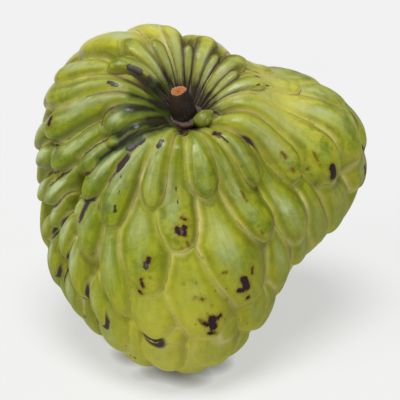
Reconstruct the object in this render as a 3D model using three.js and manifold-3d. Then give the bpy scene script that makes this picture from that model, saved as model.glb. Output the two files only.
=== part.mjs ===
// A custard apple, as picked: one lumpy fruit covered with overlapping rounded scales, and the short
// woody stalk that stands in the hollow at its top.
//
// Millimetres and degrees, +Z up. The fruit rests on a small flat spot in the plane z = 0, and the
// origin lies on that spot, straight below the middle of the fruit.
//
// The skin is worked out in the fruit's own growing frame, whose pole is the stalk. A place on it has
// an azimuth, 0 at the front and growing towards +X, and a polar angle, 0 at the stalk and 180 at the
// blossom end. The grown fruit is then leaned forward and set down.
import * as THREE from "three";
import { mergeVertices } from "three/addons/utils/BufferGeometryUtils.js";
import Module from "manifold-3d";

// How the fruit stands.
const MIDDLE_HEIGHT = 40.2;
const LEAN_FORWARD = 21.5;
const LEAN_ASIDE = 1.5;

// The body without its scales: the radius every 20 degrees from stalk to blossom end, and the broad
// swells and hollows that make it lopsided, each with the place, height and spread of its summit.
const PROFILE_STEP = 20;
const PROFILE = [54, 48.5, 41.2, 41.4, 41, 42, 41.2, 40.2, 39.2, 38];
const SWELLS = [
  { name: "right shoulder", azimuth: 116, polar: 76, height: 21, spread: 37 },
  { name: "left shoulder", azimuth: -136, polar: 41, height: 20, spread: 42 },
  { name: "belly", azimuth: 1, polar: 97, height: 10.5, spread: 36 },
  { name: "left flank", azimuth: -90, polar: 128, height: 2, spread: 35 },
  { name: "right hollow", azimuth: 69, polar: 117, height: -13.5, spread: 29 },
  { name: "back hollow", azimuth: 184, polar: 97, height: -2, spread: 46 },
  { name: "heel", azimuth: 20, polar: 170, height: 3, spread: 25 },
  { name: "right tip", azimuth: 100, polar: 73, height: 1.1, spread: 10 },
  { name: "left edge", azimuth: -97, polar: 55, height: 0.8, spread: 11 },
  { name: "right heel", azimuth: 80, polar: 107, height: 1.1, spread: 9 },
  { name: "fold at the left of the stalk", azimuth: -60, polar: 26, height: -3, spread: 6.5 },
  { name: "upper end of the fold", azimuth: -50, polar: 16, height: -2.2, spread: 5.5 },
];
const STALK_HOLLOW = { depth: 21, spread: 13 };

// Relief of the scales. Each scale lifts from its hidden top end towards its free tip, and carries a
// pad that is highest along its middle.
const TIP_LIFT = 1.9;
const PAD_HEIGHT = 2.1;
const PAD_FADE = 0.35;
const PAD_FADE_START = 1.15;
const FULL_LIFT_LENGTH = 26;
const LIFT_PAST_TIP = 0.1;
const SKIN_SINK = 1.8;
const OVERHANG = 0.45;
const SEAM_FILLET = 0.35;
const NOSE_LENGTH = 1.45;
const NOSE_POINT = 1.75;
const TOP_NARROWING = 0.58;
const SIDE_STEEPNESS = 2.6;
const NOSE_STEEPNESS = 2.4;
const NARROWING_POWER = 1.5;
const FALL_PAST_TOP = 2.2;
const AXIS_PAST_TIP = 0.3;
const AXIS_PAST_TOP = 1.2;

// Where the relief is stronger or weaker than the rest.
const RELIEF = 1;
const RELIEF_AREAS = [
  { name: "front", azimuth: 10, polar: 68, change: -0.35, spread: 35 },
  { name: "left flank", azimuth: -85, polar: 80, change: 0.2, spread: 35 },
  { name: "crest", azimuth: -140, polar: 34, change: 0.4, spread: 38 },
  { name: "right lobe", azimuth: 105, polar: 55, change: 0.15, spread: 35 },
];
const STALK_FADE = 9;
const SPOT_FADE = { azimuth: 8, polar: 162, share: 0.75, spread: 16 };

// The scales: azimuth and polar angle of the free tip, the same of the hidden top end, the half
// width, and how far the middle bends aside, all in degrees seen from the middle of the fruit.
const FRONT_SCALES = [
  [-56, 52.5, -37, 14, 5.2, -6],
  [-37, 56, -30, 18, 7, -7],
  [-20, 43, -22, 14, 5.4, 0],
  [-2, 57.5, -7, 22, 9, -1],
  [14, 38, 11, 12, 5.8, 0],
  [41, 61, 25, 17, 7.8, 3],
  [48, 40, 38, 12, 4.6, 4],
  [-13.5, 75.5, -24, 36, 11, -1],
  [27, 82, 15, 36, 12.5, 0],
  [-23, 85.5, -37, 52, 8, -1],
  [-9, 91.5, -13, 70, 10, 0],
  [10, 90, 0, 56, 12, 0],
  [45, 88, 46, 60, 8, 0],
  [-28, 98, -36, 80, 7.2, -2],
  [-7, 97.5, -6, 84, 8.5, 0],
  [11, 99, 14, 84, 8.5, 0],
  [29, 98, 29, 78, 8, 0],
  [50, 101, 50, 82, 7.5, 0],
  [68, 12.5, 95, 5, 2.6, 0],
];
const RIGHT_SCALES = [
  [72, 51.5, 66, 12, 6.4, 7],
  [58, 73, 59, 37, 8.5, -1],
  [84, 64.5, 95, 13, 7.2, 5],
  [97, 69.5, 106, 16, 7.2, 8],
  [122, 49, 113, 14, 6, 3],
  [105, 74, 128, 50, 7, 1],
  [98, 83, 98, 66, 6.5, 0],
  [75, 87, 72, 55, 7, -4],
  [83, 89, 82, 62, 7, 0],
  [62, 90, 60, 66, 8, 0],
  [118, 66, 122, 40, 7.5, 0],
  [74, 98, 74, 78, 7.5, 0],
  [114, 77, 112, 54, 7.5, 0],
];
const LEFT_SCALES = [
  [-67, 46.5, -58, 26, 3.8, -1.5],
  [-62, 32, -50, 12, 3.2, 1],
  [-71.5, 29.5, -60, 10, 4, 0],
  [-80.5, 55.5, -70, 27, 5, -1],
  [-94, 53, -77, 16, 6, -4],
  [-78, 70.5, -70, 48, 4.8, 2],
  [-55.5, 62.5, -53, 49, 4.3, -1],
  [-70, 77, -67, 60, 5, 0],
  [-56, 82.5, -56, 61, 5.8, -3],
  [-64, 100, -65, 78, 6, -2.5],
  [-43.5, 72, -50, 42, 7.2, -2],
  [-42.5, 92, -48, 66, 7.2, -4],
  [-94, 67, -84, 50, 5, 0],
  [-111, 52, -86, 12, 5.5, 0],
  [-118, 50, -103, 20, 5, -3],
  [-90, 81, -82, 64, 5.5, 0],
  [-80, 93, -74, 76, 6, 0],
  [-107, 71, -98, 52, 5.5, 0],
  [-104, 86, -98, 66, 6, 0],
  [-122, 66, -114, 44, 6, 0],
  [-119, 81, -112, 60, 6.5, 0],
];
const CREST_SCALES = [
  [-134, 46, -131, 9, 6.4, 0],
  [-160.5, 47, -160, 9, 6.9, 0],
  [165, 47, 165, 9, 7.6, 0],
  [137, 46, 141, 9, 4.6, 0],
  [-105, 24, -124, 6, 3.4, -1],
  [-130, 22, -131, 7, 3.2, 0],
  [-151, 22, -153, 7, 3, 0],
  [-168, 24, -170, 7, 3, 0],
  [176.5, 22, 177, 7, 3, 0],
  [165, 24, 162, 7, 3, 0],
  [151, 22, 150, 7, 2.8, 0],
  [137, 25, 134, 7, 3, 0],
  [125, 23, 119, 8, 3, 0],
  [115, 27, 109, 8, 3, 0],
];

// The rest of the skin follows regular rows: round the back below the crest, then all the way round
// the underside.
const BACK_ROWS = [
  { tip: 64, count: 9, halfWidth: 8 },
  { tip: 80, count: 9, halfWidth: 8.6 },
  { tip: 96, count: 9, halfWidth: 9 },
];
const BACK_FROM = 128;
const BACK_TO = 232;
const BACK_SCALE_LENGTH = 34;
const UNDERSIDE_ROWS = [
  { tip: 110, count: 17, halfWidth: 8.6 },
  { tip: 123, count: 16, halfWidth: 8 },
  { tip: 136, count: 14, halfWidth: 7.6 },
  { tip: 148, count: 11, halfWidth: 7.2 },
  { tip: 160, count: 8, halfWidth: 6.8 },
  { tip: 171, count: 5, halfWidth: 6.5 },
];
const UNDERSIDE_START = -6;
const UNDERSIDE_SCALE_LENGTH = 26;

// The stalk: a tapering woody peg with a collar at its foot and a cut end, leaning to one side.
const STALK_LENGTH = 15;
const STALK_SUNK = 2.2;
const STALK_FOOT_RADIUS = 4.3;
const STALK_FOOT_HEIGHT = 3;
const STALK_WAIST_RADIUS = 3.2;
const STALK_WAIST_HEIGHT = 5.2;
const STALK_SHAFT_RADIUS = 2.65;
const STALK_SHAFT_HEIGHT = 10.5;
const STALK_END_RADIUS = 2.1;
const STALK_END_ROUNDING = 0.3;
const STALK_LEAN = 10;
const STALK_GAP = 0.3;
const STALK_SIDES = 28;

// Mesh fineness.
const STEPS_ROUND = 60;
const STEPS_DOWN = [
  { to: 30, count: 9 },
  { to: 180, count: 31 },
];
const SLOPE_STEP = 0.5;
const SPLIT_MARGIN = 0.1;
const SPLIT_ROUNDS = 7;
const CUT_BOX = 200;

const radians = THREE.MathUtils.degToRad;

// The same turn between -180 and 180 degrees.
function wrapped(turn) {
  return THREE.MathUtils.euclideanModulo(turn + 180, 360) - 180;
}

// The outward direction of a place on the skin.
function direction(azimuth, polar) {
  const ring = Math.sin(radians(polar));
  const x = ring * Math.sin(radians(azimuth));
  const y = -ring * Math.cos(radians(azimuth));
  return new THREE.Vector3(x, y, Math.cos(radians(polar)));
}

// A bell-shaped share, 1 in the given direction and fading with the angle from it.
function bell(here, { azimuth, polar, spread }) {
  const cosine = here.dot(direction(azimuth, polar));
  return Math.exp((cosine - 1) / (1 - Math.cos(radians(spread))));
}

// The profile's radius at a polar angle: a smooth curve through its values, level at both poles.
function profileRadius(polar) {
  const last = PROFILE.length - 1;
  const place = polar / PROFILE_STEP;
  const i = Math.min(Math.floor(place), last - 1);
  const t = place - i;
  const before = PROFILE[i === 0 ? 1 : i - 1];
  const after = PROFILE[i + 2 > last ? last - 1 : i + 2];
  const start = PROFILE[i];
  const end = PROFILE[i + 1];
  const square = 2 * before - 5 * start + 4 * end - after;
  const cube = 3 * (start - end) + after - before;
  return start + 0.5 * t * (end - before + t * (square + t * cube));
}

// The body's radius in a direction, without scales.
function bodyRadius(azimuth, polar) {
  const here = direction(azimuth, polar);
  const swell = SWELLS.reduce((sum, lump) => sum + lump.height * bell(here, lump), 0);
  const hollow = STALK_HOLLOW.depth * Math.exp(-((polar / STALK_HOLLOW.spread) ** 2));
  return profileRadius(polar) + swell - hollow;
}

function bodyPoint(azimuth, polar) {
  return direction(azimuth, polar).multiplyScalar(bodyRadius(azimuth, polar));
}

function straightScale(azimuth, tip, length, halfWidth) {
  return [azimuth, tip, azimuth, tip - length, halfWidth, 0];
}

// The scales of the regular rows.
function rowScales() {
  const scales = [];
  BACK_ROWS.forEach(({ tip, count, halfWidth }, row) => {
    for (let i = 0; i < count; i++) {
      const share = (i + 0.5 * (row % 2)) / (count - 0.5);
      const azimuth = BACK_FROM + (BACK_TO - BACK_FROM) * share;
      scales.push(straightScale(azimuth, tip, BACK_SCALE_LENGTH, halfWidth));
    }
  });
  UNDERSIDE_ROWS.forEach(({ tip, count, halfWidth }, row) => {
    for (let i = 0; i < count; i++) {
      const azimuth = UNDERSIDE_START + (360 * (i + 0.5 * (row % 2))) / count;
      scales.push(straightScale(azimuth, tip, UNDERSIDE_SCALE_LENGTH, halfWidth));
    }
  });
  return scales;
}

const SCALES = [
  ...FRONT_SCALES,
  ...RIGHT_SCALES,
  ...LEFT_SCALES,
  ...CREST_SCALES,
  ...rowScales(),
].map(([tipAzimuth, tipPolar, topAzimuth, topPolar, halfWidth, bend]) => ({
  tipAzimuth,
  tipPolar,
  turn: topAzimuth - tipAzimuth,
  length: tipPolar - topPolar,
  halfWidth,
  bend,
}));

// How high one scale stands at a place, counted from the bottom of the seams. It falls away on all
// sides, so the highest scale at a place is the one that shows there.
function scaleHeight(scale, azimuth, polar) {
  const up = scale.tipPolar - polar;
  const share = up / scale.length;
  const within = THREE.MathUtils.clamp(share, 0, 1);
  const along = THREE.MathUtils.clamp(share, -AXIS_PAST_TIP, AXIS_PAST_TOP);
  const middle = scale.tipAzimuth + scale.turn * along + 4 * scale.bend * within * (1 - within);
  const across = wrapped(azimuth - middle) * Math.sin(radians(polar));
  const nose = NOSE_LENGTH * scale.halfWidth;
  const towardsTop = Math.max((up - nose) / (scale.length - nose), 0);
  const towardsTip = Math.max((nose - up) / nose, 0);
  const narrowing = TOP_NARROWING * Math.min(towardsTop, 1) ** NARROWING_POWER;
  const width = scale.halfWidth * (1 - narrowing);
  const outline = (Math.abs(across / width) ** NOSE_POINT + towardsTip ** NOSE_POINT) ** (1 / NOSE_POINT);
  const edge = Math.hypot(outline, FALL_PAST_TOP * Math.max(towardsTop - 1, 0));
  const steepness = SIDE_STEEPNESS + NOSE_STEEPNESS * Math.min(towardsTip, 1);
  const pad = edge < 1 ? 1 - edge ** steepness : -steepness * (edge - 1);
  const fade = 1 - PAD_FADE + PAD_FADE * THREE.MathUtils.clamp(PAD_FADE_START - share, 0, 1);
  const tipLift = TIP_LIFT * Math.min(scale.length / FULL_LIFT_LENGTH, 1);
  return tipLift * (1 - THREE.MathUtils.clamp(share, -LIFT_PAST_TIP, 1)) + PAD_HEIGHT * pad * fade;
}

// The height of the skin over the body: the two highest scales, rounded together along their seam.
function skinHeight(azimuth, polar) {
  let highest = -Infinity;
  let second = -Infinity;
  for (const scale of SCALES) {
    const height = scaleHeight(scale, azimuth, polar);
    second = Math.max(second, Math.min(highest, height));
    highest = Math.max(highest, height);
  }
  const meeting = Math.max(1 - (highest - second) / SEAM_FILLET, 0);
  const here = direction(azimuth, polar);
  const areas = RELIEF_AREAS.reduce((sum, area) => sum + area.change * bell(here, area), RELIEF);
  const atStalk = 1 - Math.exp(-((polar / STALK_FADE) ** 4));
  const atSpot = 1 - SPOT_FADE.share * bell(here, SPOT_FADE);
  return (highest + (SEAM_FILLET / 4) * meeting ** 2 - SKIN_SINK) * areas * atStalk * atSpot;
}

// A point of the finished skin: the body's point, raised along its normal, with the raised parts also
// drawn towards the scales' tips so that they hang over the seams.
function skinPoint(azimuth, polar) {
  const point = bodyPoint(azimuth, polar);
  if (polar === 0 || polar === 180) return point;
  const round = bodyPoint(azimuth + SLOPE_STEP, polar).sub(bodyPoint(azimuth - SLOPE_STEP, polar));
  const before = bodyPoint(azimuth, Math.max(polar - SLOPE_STEP, 0));
  const after = bodyPoint(azimuth, Math.min(polar + SLOPE_STEP, 180));
  const down = after.sub(before).normalize();
  const outward = down.clone().cross(round).normalize();
  const height = skinHeight(azimuth, polar);
  return point.addScaledVector(outward, height).addScaledVector(down, OVERHANG * Math.max(height, 0));
}

// A place on the skin and the scale that shows there.
function placeAt(azimuth, polar) {
  const heights = SCALES.map((scale) => scaleHeight(scale, azimuth, polar));
  const scale = SCALES[heights.indexOf(Math.max(...heights))];
  return { azimuth, polar, scale };
}

// The place between two others where the seam between their scales runs.
function seamPlace(from, to) {
  const atPole = from.polar === 0 || from.polar === 180;
  const start = atPole ? to.azimuth : from.azimuth;
  const turn = to.polar === 0 || to.polar === 180 ? 0 : wrapped(to.azimuth - start);
  let low = SPLIT_MARGIN;
  let high = 1 - SPLIT_MARGIN;
  let place;
  for (let i = 0; i < SPLIT_ROUNDS; i++) {
    const middle = (low + high) / 2;
    place = { azimuth: start + turn * middle, polar: from.polar + (to.polar - from.polar) * middle };
    const mine = scaleHeight(from.scale, place.azimuth, place.polar);
    const theirs = scaleHeight(to.scale, place.azimuth, place.polar);
    if (mine > theirs) low = middle;
    else high = middle;
  }
  return place;
}

// The polar angles of the grid's rings between the poles.
function ringPolars() {
  const polars = [];
  let from = 0;
  for (const { to, count } of STEPS_DOWN) {
    for (let i = 1; i <= count; i++) polars.push(from + ((to - from) * i) / count);
    from = to;
  }
  return polars.slice(0, -1);
}

// Rings of places from pole to pole, with one place at each pole.
function gridPlaces() {
  const places = [placeAt(0, 0)];
  for (const polar of ringPolars()) {
    for (let j = 0; j < STEPS_ROUND; j++) places.push(placeAt((360 * j) / STEPS_ROUND, polar));
  }
  places.push(placeAt(0, 180));
  return places;
}

function gridTriangles(last) {
  const triangles = [];
  const lastRing = last - STEPS_ROUND;
  for (let j = 0; j < STEPS_ROUND; j++) {
    const next = (j + 1) % STEPS_ROUND;
    triangles.push([0, 1 + j, 1 + next]);
    for (let ring = 1; ring < lastRing; ring += STEPS_ROUND) {
      const below = ring + STEPS_ROUND;
      triangles.push([ring + j, below + j, below + next]);
      triangles.push([ring + j, below + next, ring + next]);
    }
    triangles.push([lastRing + j, last, lastRing + next]);
  }
  return triangles;
}

// The closed skin: a grid whose triangles are split where a seam crosses them, so that every scale
// keeps a clean edge.
function skinGeometry() {
  const places = gridPlaces();
  const triangles = gridTriangles(places.length - 1);
  const onEdges = new Map();
  const faces = [];
  const seamIndex = (a, b) => {
    const key = Math.min(a, b) + "-" + Math.max(a, b);
    if (!onEdges.has(key)) {
      onEdges.set(key, places.length);
      places.push(seamPlace(places[Math.min(a, b)], places[Math.max(a, b)]));
    }
    return onEdges.get(key);
  };
  const differ = (a, b) => places[a].scale !== places[b].scale;
  for (const [a, b, c] of triangles) {
    const split = [differ(a, b), differ(b, c), differ(c, a)];
    const count = split.filter(Boolean).length;
    if (count === 0) {
      faces.push(a, b, c);
    } else if (count === 2) {
      // One corner lies on another scale: turn the triangle so that it comes first.
      const [p, q, r] = !split[1] ? [a, b, c] : !split[2] ? [b, c, a] : [c, a, b];
      const pq = seamIndex(p, q);
      const rp = seamIndex(r, p);
      faces.push(p, pq, rp, pq, q, r, pq, r, rp);
    } else {
      // Three scales meet here.
      const ab = seamIndex(a, b);
      const bc = seamIndex(b, c);
      const ca = seamIndex(c, a);
      faces.push(a, ab, ca, b, bc, ab, c, ca, bc, ab, bc, ca);
    }
  }
  const points = places.map(({ azimuth, polar }) => skinPoint(azimuth, polar));
  return new THREE.BufferGeometry().setFromPoints(points).setIndex(faces);
}

// The stalk as a turned profile about its own axis, its foot at z = 0, grown all round by a margin.
function stalkGeometry(margin) {
  const profile = [
    [0, -margin],
    [STALK_FOOT_RADIUS + margin, -margin],
    [STALK_FOOT_RADIUS + margin, STALK_FOOT_HEIGHT],
    [STALK_WAIST_RADIUS + margin, STALK_WAIST_HEIGHT],
    [STALK_SHAFT_RADIUS + margin, STALK_SHAFT_HEIGHT],
    [STALK_END_RADIUS + margin, STALK_LENGTH - STALK_END_ROUNDING],
    [STALK_END_RADIUS - STALK_END_ROUNDING + margin, STALK_LENGTH],
    [0, STALK_LENGTH],
  ];
  const outline = profile.map(([radius, height]) => new THREE.Vector2(radius, height));
  return new THREE.LatheGeometry(outline, STALK_SIDES).rotateX(Math.PI / 2);
}

const library = await Module();
library.setup();

// A mesh's geometry, placed by a matrix, as a solid that can be joined and cut.
function solid(geometry, matrix = new THREE.Matrix4()) {
  const placed = geometry.clone().applyMatrix4(matrix);
  placed.deleteAttribute("normal");
  placed.deleteAttribute("uv");
  const merged = mergeVertices(placed);
  const vertProperties = new Float32Array(merged.attributes.position.array);
  const triVerts = new Uint32Array(merged.index.array);
  return new library.Manifold(new library.Mesh({ numProp: 3, vertProperties, triVerts }));
}

function geometryOf(body) {
  const mesh = body.getMesh();
  const geometry = new THREE.BufferGeometry();
  geometry.setAttribute("position", new THREE.BufferAttribute(mesh.vertProperties, 3));
  geometry.setIndex(new THREE.BufferAttribute(mesh.triVerts, 1));
  geometry.computeVertexNormals();
  return geometry;
}

// The grown fruit's place: leaned aside, leaned forward and lifted onto its resting spot.
const standing = new THREE.Matrix4()
  .makeTranslation(0, 0, MIDDLE_HEIGHT)
  .multiply(new THREE.Matrix4().makeRotationX(radians(LEAN_FORWARD)))
  .multiply(new THREE.Matrix4().makeRotationY(radians(LEAN_ASIDE)));

// The stalk's place: its foot sunk in the floor of the hollow.
const stalkPlace = standing
  .clone()
  .multiply(new THREE.Matrix4().makeTranslation(0, 0, bodyRadius(0, 0) - STALK_SUNK))
  .multiply(new THREE.Matrix4().makeRotationY(radians(-STALK_LEAN)));

// The fruit, with the resting spot cut flat and a socket for the foot of the stalk.
function makeFruit() {
  const below = new THREE.BoxGeometry(CUT_BOX, CUT_BOX, CUT_BOX).translate(0, 0, -CUT_BOX / 2);
  const socket = solid(stalkGeometry(STALK_GAP), stalkPlace);
  const body = solid(skinGeometry(), standing).subtract(solid(below)).subtract(socket);
  const skin = new THREE.MeshStandardMaterial({ color: 0x8f9a3c, roughness: 0.45, metalness: 0 });
  const mesh = new THREE.Mesh(geometryOf(body), skin);
  mesh.name = "fruit";
  return mesh;
}

function makeStalk() {
  const bark = new THREE.MeshStandardMaterial({ color: 0x4a3023, roughness: 0.8, metalness: 0 });
  const mesh = new THREE.Mesh(stalkGeometry(0), bark);
  mesh.applyMatrix4(stalkPlace);
  mesh.name = "stalk";
  return mesh;
}

const custardApple = new THREE.Group();
custardApple.add(makeFruit(), makeStalk());

export default custardApple;
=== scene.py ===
import math

import bpy
import numpy as np
from mathutils import Matrix, Vector


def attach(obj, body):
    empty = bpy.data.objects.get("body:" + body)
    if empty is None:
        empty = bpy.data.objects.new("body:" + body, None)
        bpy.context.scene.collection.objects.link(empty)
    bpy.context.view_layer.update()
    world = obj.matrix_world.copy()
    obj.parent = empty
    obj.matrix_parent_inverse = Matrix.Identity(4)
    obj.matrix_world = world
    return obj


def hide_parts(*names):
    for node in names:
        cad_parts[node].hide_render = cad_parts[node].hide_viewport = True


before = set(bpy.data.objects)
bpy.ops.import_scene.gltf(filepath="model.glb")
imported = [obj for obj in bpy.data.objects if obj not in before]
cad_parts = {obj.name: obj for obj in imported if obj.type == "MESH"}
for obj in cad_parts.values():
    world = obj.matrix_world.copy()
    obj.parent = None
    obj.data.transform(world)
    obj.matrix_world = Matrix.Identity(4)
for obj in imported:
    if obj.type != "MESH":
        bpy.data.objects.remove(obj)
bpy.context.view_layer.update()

# Fruit. One grown piece: a lopsided, fleshy body whose thick skin is made of rounded scales that
# overlap from the stalk down. The skin is yellow-green and slightly waxy, paler along the seams, and
# it has dark scars where the scales were rubbed. It stands for the CAD fruit, in a finer mesh.

# A place on the skin has an azimuth, 0 at the front and growing towards +X, and a polar angle, 0 at
# the stalk and 180 at the blossom end, both in degrees. The grown fruit is then leaned forward.

MM = 0.001
MIDDLE = Vector((0.0, 0.0, 40.2 * MM))
LEAN_FORWARD = math.radians(21.5)
LEAN_ASIDE = math.radians(1.5)

PROFILE_STEP = 20.0
PROFILE = np.array([54, 48.5, 41.2, 41.4, 41, 42, 41.2, 40.2, 39.2, 38]) * MM  # radii from the stalk down
STALK_HOLLOW_DEPTH = 21 * MM
STALK_HOLLOW_SPREAD = 13.0
SWELLS = [  # azimuth, polar, height, spread
    (116, 76, 21 * MM, 37),  # right shoulder
    (-136, 41, 20 * MM, 42),  # left shoulder
    (1, 97, 10.5 * MM, 36),  # belly
    (-90, 128, 2 * MM, 35),  # left flank
    (69, 117, -13.5 * MM, 29),  # right hollow
    (184, 97, -2 * MM, 46),  # back hollow
    (20, 170, 3 * MM, 25),  # heel
    (100, 73, 1.1 * MM, 10),  # right tip
    (-97, 55, 0.8 * MM, 11),  # left edge
    (80, 107, 1.1 * MM, 9),  # right heel
    (-60, 26, -3 * MM, 6.5),  # fold at the left of the stalk
    (-50, 16, -2.2 * MM, 5.5),  # its upper end
]

# Each scale lifts from its hidden top end towards its free tip and carries a soft pad. Its outline has
# a blunt nose at the tip and narrows towards the top. Shares are of its length or of its width.
TIP_LIFT = 1.9 * MM
PAD_HEIGHT = 2.1 * MM
PAD_FADE = 0.35
PAD_FADE_START = 1.15
FULL_LIFT_LENGTH = 26.0  # in degrees; shorter scales lift less
LIFT_PAST_TIP = 0.1
SKIN_SINK = 1.8 * MM
OVERHANG = 0.45
SEAM_FILLET = 1.3 * MM
NOSE_LENGTH = 1.45  # in half widths
NOSE_POINT = 1.75
TOP_NARROWING = 0.58
NARROWING_POWER = 1.5
SIDE_STEEPNESS = 2.6
NOSE_STEEPNESS = 2.4
FALL_PAST_TOP = 2.2
AXIS_PAST_TIP = 0.3
AXIS_PAST_TOP = 1.2

# The relief fades out round the stalk and on the resting spot, and is stronger or weaker in places.
RELIEF_AREAS = [  # azimuth, polar, change, spread
    (10, 68, -0.35, 35),  # front
    (-85, 80, 0.2, 35),  # left flank
    (-140, 34, 0.4, 38),  # crest
    (105, 55, 0.15, 35),  # right lobe
    (-160, 20, -0.7, 11),  # ribs below the crest
]
STALK_FADE = 9.0
STALK_FADE_POWER = 4
SPOT_FADE = (8, 162, 0.75, 16)

# Scales: azimuth and polar angle of the free tip, the same of the hidden top end, half width, bend.
FRONT_SCALES = [
    (-56, 52.5, -37, 14, 5.2, -6),
    (-37, 56, -30, 18, 7, -7),
    (-20, 43, -22, 14, 5.4, 0),
    (-2, 57.5, -7, 22, 9, -1),
    (14, 38, 11, 12, 5.8, 0),
    (41, 61, 25, 17, 7.8, 3),
    (48, 40, 38, 12, 4.6, 4),
    (-13.5, 75.5, -24, 36, 11, -1),
    (27, 82, 15, 36, 12.5, 0),
    (-23, 85.5, -37, 52, 8, -1),
    (-9, 91.5, -13, 70, 10, 0),
    (10, 90, 0, 56, 12, 0),
    (45, 88, 46, 60, 8, 0),
    (-28, 98, -36, 80, 7.2, -2),
    (-7, 97.5, -6, 84, 8.5, 0),
    (11, 99, 14, 84, 8.5, 0),
    (29, 98, 29, 78, 8, 0),
    (50, 101, 50, 82, 7.5, 0),
    (68, 12.5, 95, 5, 2.6, 0),
]
RIGHT_SCALES = [
    (72, 51.5, 66, 12, 6.4, 7),
    (58, 73, 59, 37, 8.5, -1),
    (84, 64.5, 95, 13, 7.2, 5),
    (97, 69.5, 106, 16, 7.2, 8),
    (122, 49, 113, 14, 6, 3),
    (105, 74, 128, 50, 7, 1),
    (98, 83, 98, 66, 6.5, 0),
    (75, 87, 72, 55, 7, -4),
    (83, 89, 82, 62, 7, 0),
    (62, 90, 60, 66, 8, 0),
    (118, 66, 122, 40, 7.5, 0),
    (74, 98, 74, 78, 7.5, 0),
    (114, 77, 112, 54, 7.5, 0),
]
LEFT_SCALES = [
    (-67, 46.5, -58, 26, 3.8, -1.5),
    (-62, 32, -50, 12, 3.2, 1),
    (-71.5, 29.5, -60, 10, 4, 0),
    (-80.5, 55.5, -70, 27, 5, -1),
    (-94, 53, -77, 16, 6, -4),
    (-78, 70.5, -70, 48, 4.8, 2),
    (-55.5, 62.5, -53, 49, 4.3, -1),
    (-70, 77, -67, 60, 5, 0),
    (-56, 82.5, -56, 61, 5.8, -3),
    (-64, 100, -65, 78, 6, -2.5),
    (-43.5, 72, -50, 42, 7.2, -2),
    (-42.5, 92, -48, 66, 7.2, -4),
    (-94, 67, -84, 50, 5, 0),
    (-111, 52, -86, 12, 5.5, 0),
    (-118, 50, -103, 20, 5, -3),
    (-90, 81, -82, 64, 5.5, 0),
    (-80, 93, -74, 76, 6, 0),
    (-107, 71, -98, 52, 5.5, 0),
    (-104, 86, -98, 66, 6, 0),
    (-122, 66, -114, 44, 6, 0),
    (-119, 81, -112, 60, 6.5, 0),
]
CREST_SCALES = [
    (-134, 46, -131, 9, 6.4, 0),
    (-160.5, 47, -160, 9, 6.9, 0),
    (165, 47, 165, 9, 7.6, 0),
    (137, 46, 141, 9, 4.6, 0),
    (-105, 24, -124, 6, 3.4, -1),
    (-130, 24, -131, 7, 3.6, 0),
    (-149, 20, -151, 7, 2.7, 0),
    (-166, 27, -168, 7, 3.8, 0),
    (179, 19, 179, 7, 2.4, 0),
    (165, 27, 164, 7, 4.0, 0),
    (151, 20, 150, 7, 2.4, 0),
    (138, 28, 135, 7, 3.7, 0),
    (126, 21, 120, 8, 2.6, 0),
    (115, 29, 109, 8, 3.4, 0),
]

# The back and the underside are covered in rows: polar angle of the tips, number, half width.
BACK_ROWS = [(64, 9, 8), (80, 9, 8.6), (96, 9, 9)]
BACK_FROM = 128.0
BACK_TO = 232.0
BACK_SCALE_LENGTH = 34.0
UNDERSIDE_ROWS = [
    (110, 17, 8.6),
    (123, 16, 8),
    (136, 14, 7.6),
    (148, 11, 7.2),
    (160, 8, 6.8),
    (171, 5, 6.5),
]
UNDERSIDE_START = -6.0
UNDERSIDE_SCALE_LENGTH = 26.0

# How far their scales stray from even rows, in degrees.
STRAY_ROUND = 1.8
STRAY_DOWN = 3.0
STRAY_WIDTH = 0.7
STRAY_BEND = 2
SMALLEST_RING = 0.3  # rings near the blossom end count as no smaller than this

grow = np.random.default_rng(5)
scales = FRONT_SCALES + RIGHT_SCALES + LEFT_SCALES + CREST_SCALES


def strayed(azimuth, tip, length, half_width):
    """A scale of an even row, grown a little out of line."""
    off_azimuth, off_top, off_tip, off_width = grow.uniform(-1, 1, 4)
    crowding = STRAY_ROUND / max(math.sin(math.radians(tip)), SMALLEST_RING)
    tip_azimuth = azimuth + off_azimuth * crowding
    top_azimuth = tip_azimuth + off_top * crowding
    new_tip = tip + off_tip * STRAY_DOWN
    width = half_width + off_width * STRAY_WIDTH
    return tip_azimuth, new_tip, top_azimuth, new_tip - length, width, STRAY_BEND * off_top


# Every other row starts half a scale further round.
for row, (tip, number, half_width) in enumerate(BACK_ROWS):
    for i in range(number):
        azimuth = BACK_FROM + (BACK_TO - BACK_FROM) * (i + 0.5 * (row % 2)) / (number - 0.5)
        scales.append(strayed(azimuth, tip, BACK_SCALE_LENGTH, half_width))
for row, (tip, number, half_width) in enumerate(UNDERSIDE_ROWS):
    for i in range(number):
        azimuth = UNDERSIDE_START + 360 * (i + 0.5 * (row % 2)) / number
        scales.append(strayed(azimuth, tip, UNDERSIDE_SCALE_LENGTH, half_width))
SCALES = np.array(scales, dtype=float)


def direction(azimuth, polar):
    """The outward direction of places on the skin."""
    turn = np.radians(azimuth)
    tilt = np.radians(polar)
    return np.stack([np.sin(tilt) * np.sin(turn), -np.sin(tilt) * np.cos(turn), np.cos(tilt)], -1)


def bells(here, areas):
    """The sum of bell-shaped areas, each (azimuth, polar, amount, spread), at unit directions."""
    total = np.zeros(here.shape[:-1])
    for azimuth, polar, amount, spread in areas:
        cosine = here @ direction(azimuth, polar)
        total += amount * np.exp((cosine - 1) / (1 - math.cos(math.radians(spread))))
    return total


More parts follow.
